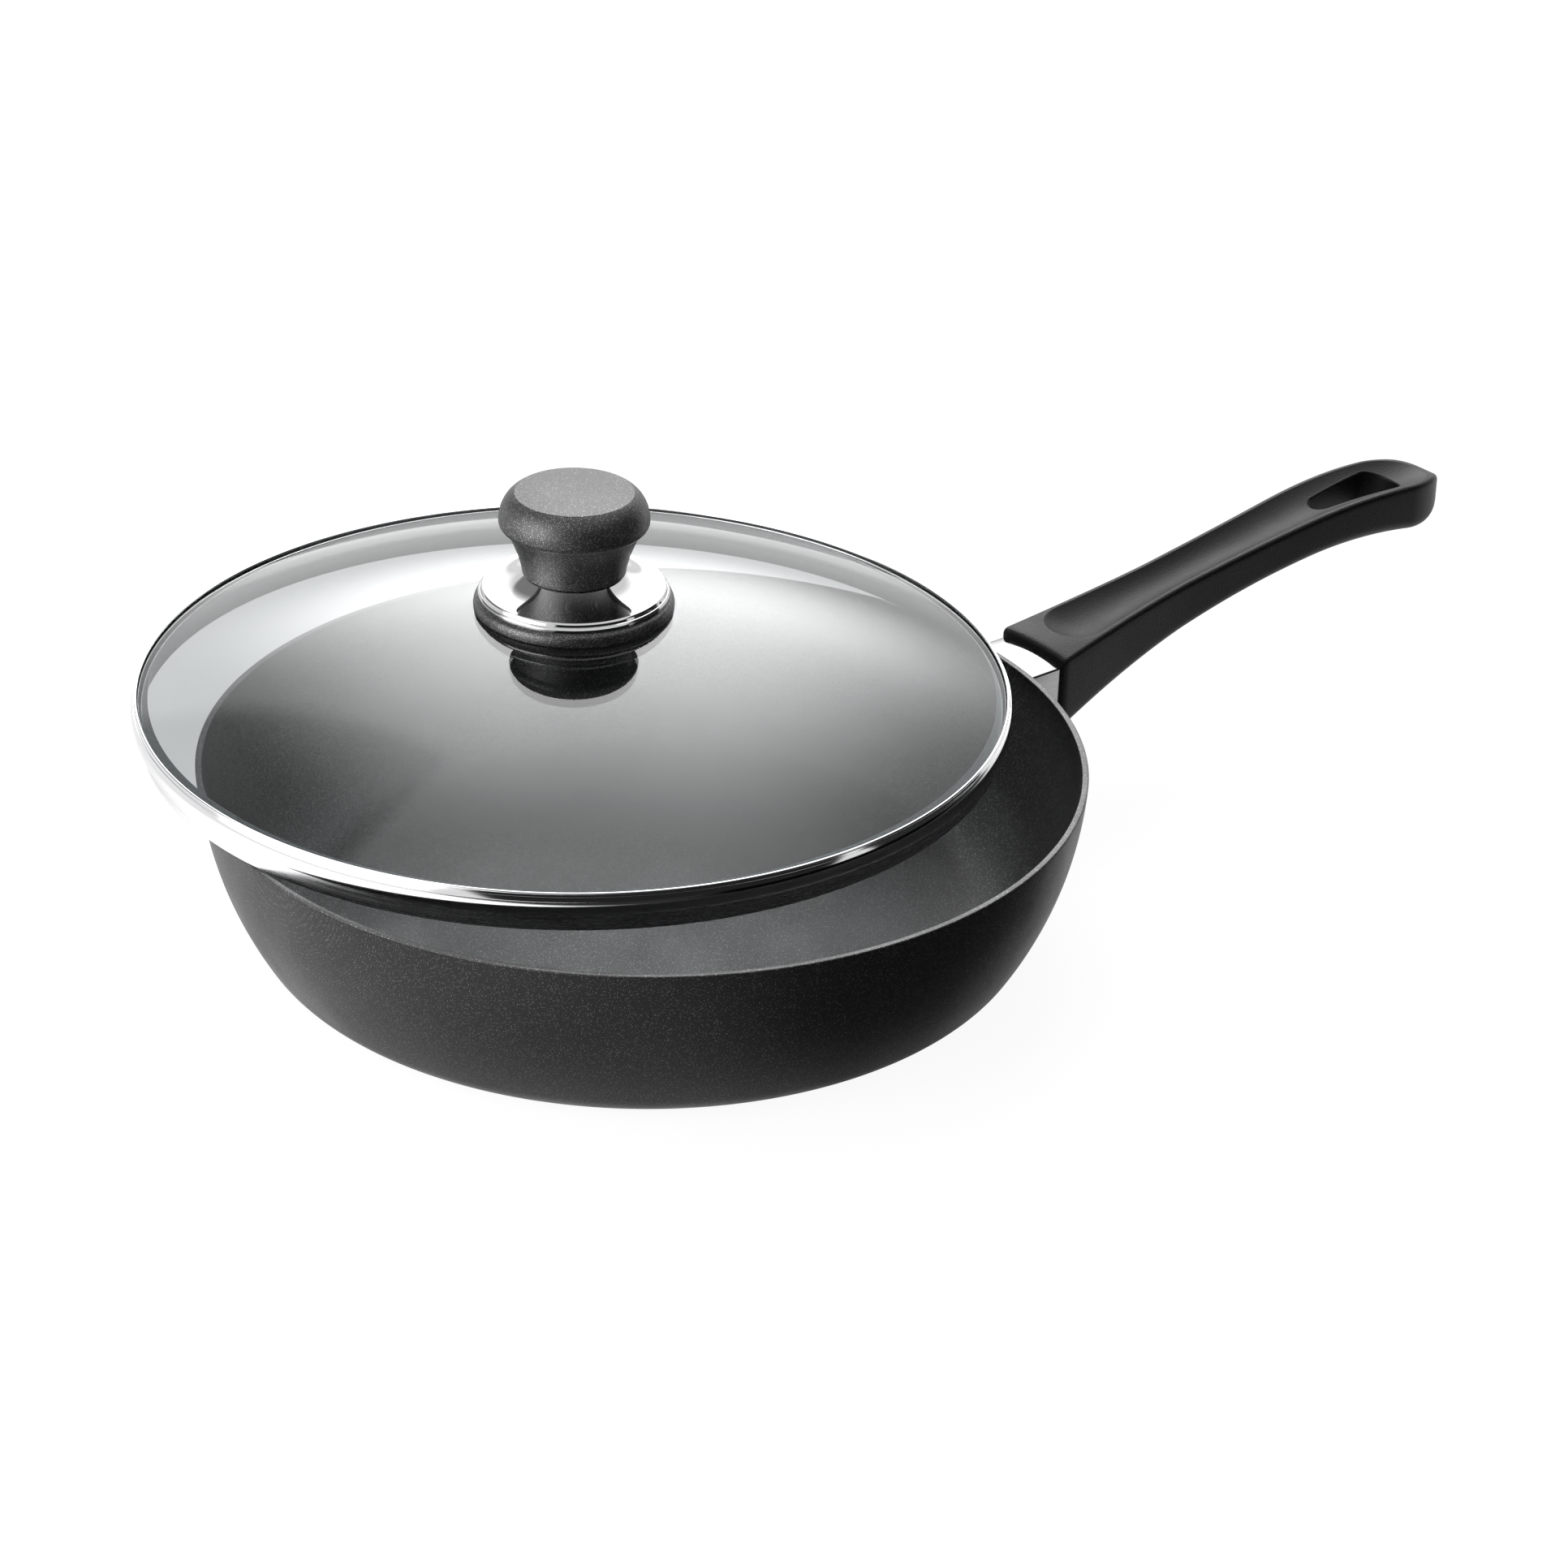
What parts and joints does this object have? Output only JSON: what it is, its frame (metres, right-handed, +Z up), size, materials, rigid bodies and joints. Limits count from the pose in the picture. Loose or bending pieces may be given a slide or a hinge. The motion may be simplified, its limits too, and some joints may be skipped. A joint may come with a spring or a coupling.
{
  "type": "saute pan with lid",
  "caption": "Deep round coated pan with a curved wall, a long moulded grip on a polished sleeve, and a domed glass lid with a steel band and a black knob, set sideways on the rim.",
  "frame": {"origin": "centre of the underside of the base", "axes": "+X along the handle from the pan towards the grip's end, +Z up, +Y to the left of the handle"},
  "size_m": [0.4956, 0.3126, 0.14],
  "materials": {
    "pan_coating": "dark grey speckled non-stick coating, satin",
    "base_steel": "spun with fine rings",
    "polished_sleeve": "polished",
    "grip_black": "fine moulded grain",
    "screw_steel": "plain",
    "lid_glass": "clear, faint blue-green at the edge",
    "band_steel": "polished bulge over a brushed skirt",
    "knob_black": "black with pale speckle, satin",
    "insert_brass": "turned",
    "polished_disc": "mirror polished",
    "base_black": "black with pale speckle, satin",
    "grommet_white": "soft silicone"
  },
  "bodies": {
    "pan": {"pan_body": "pan_coating", "base_plate": "base_steel", "handle_sleeve": "polished_sleeve", "handle_grip": "grip_black", "handle_screw": "screw_steel", "handle_lock_washer": "screw_steel"},
    "lid": {"lid_glass": "lid_glass", "lid_rim_band": "band_steel", "knob": "knob_black", "knob_insert": "insert_brass", "knob_disc": "polished_disc", "knob_base": "base_black", "glass_grommet": "grommet_white", "knob_washer": "screw_steel", "knob_lock_washer": "screw_steel", "knob_screw": "screw_steel"}
  },
  "joints": [
    {"name": "lid_lift", "type": "slide", "parent": "pan", "child": "lid", "axis": [0, 0, 1], "range_m": [0, 0.16]}
  ]
}
